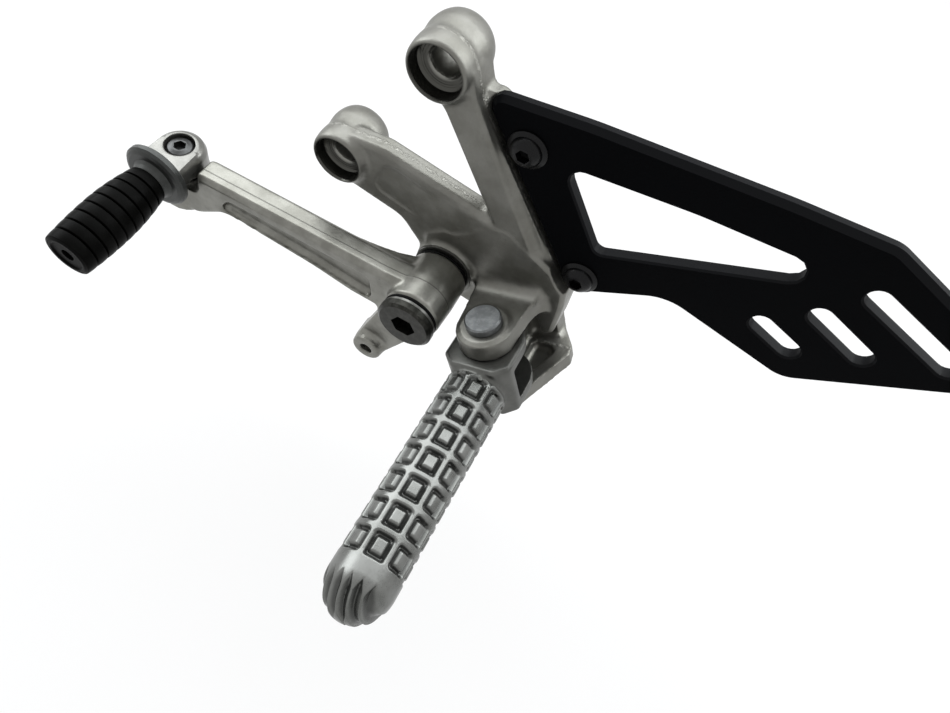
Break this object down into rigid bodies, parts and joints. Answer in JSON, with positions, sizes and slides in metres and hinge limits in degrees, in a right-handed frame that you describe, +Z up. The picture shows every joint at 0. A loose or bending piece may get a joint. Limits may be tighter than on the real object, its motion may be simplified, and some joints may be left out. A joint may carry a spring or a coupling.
{
  "type": "motorcycle footrest hanger",
  "caption": "Left footrest hanger: cast bracket with a folding ribbed footrest, a gear lever with a folding rubber toe peg, and a black slotted heel guard.",
  "frame": {"origin": "axis of the upper frame bolt, on the face that seats on the motorcycle's frame", "axes": "+X rearward, +Y inboard towards the motorcycle's middle, +Z up; the rider's foot is on the -Y side"},
  "size_m": [0.2697, 0.1365, 0.1262],
  "materials": {
    "cast_aluminium": "sand-cast, satin",
    "guard_black": "black anodised, satin",
    "black_screw": "black oxide",
    "forged_aluminium": "forged and tumbled, satin",
    "bush_bronze": "plain bearing bronze",
    "pivot_steel": "dark passivated steel",
    "washer_steel": "zinc-plated steel",
    "seal_rubber": "matt black",
    "toe_aluminium": "satin",
    "flange_grey": "dark grey, worn at the rim",
    "toe_rubber": "matt black with a soft sheen",
    "zinc_screw": "zinc-plated",
    "friction_black": "matt black",
    "spring_steel": "blackened spring steel",
    "bar_aluminium": "cast, satin silver",
    "clip_steel": "phosphated steel"
  },
  "bodies": {
    "bracket": {"hanger": "cast_aluminium", "heel_guard": "guard_black", "guard_screw_upper": "black_screw", "guard_screw_lower": "black_screw", "lever_pivot_bolt": "pivot_steel", "lever_outer_washer": "washer_steel", "lever_inner_washer": "washer_steel", "footrest_pin": "zinc_screw", "footrest_spring": "spring_steel", "pin_washer": "washer_steel", "pin_clip": "clip_steel"},
    "lever": {"gear_lever": "forged_aluminium", "lever_bush": "bush_bronze", "lever_outer_seal": "seal_rubber", "lever_inner_seal": "seal_rubber", "toe_pivot_screw": "zinc_screw", "toe_friction_washer": "friction_black", "toe_detent_ball": "zinc_screw", "toe_detent_spring": "spring_steel"},
    "toe_peg": {"toe_hub": "toe_aluminium", "toe_flange": "flange_grey", "toe_rubber": "toe_rubber", "toe_end_screw": "washer_steel"},
    "footrest": {"footrest_bar": "bar_aluminium"}
  },
  "joints": [
    {"name": "footrest_fold", "type": "hinge", "parent": "bracket", "child": "footrest", "pos_m": [0.04584, -0.0365, -0.08782], "axis": [-0.3987, 0, 0.9171], "range_deg": [0, 85], "stiffness_Nm_per_rad": 0.25, "springref_deg": -57.3},
    {"name": "gear_lever_pivot", "type": "hinge", "parent": "bracket", "child": "lever", "pos_m": [0.0143, -0.0323, -0.0767], "axis": [0, 1, 0], "range_deg": [-12, 12]},
    {"name": "toe_peg_fold", "type": "hinge", "parent": "lever", "child": "toe_peg", "pos_m": [-0.0862, -0.032, -0.0721], "axis": [0, 0, 1], "range_deg": [0, 15]}
  ]
}
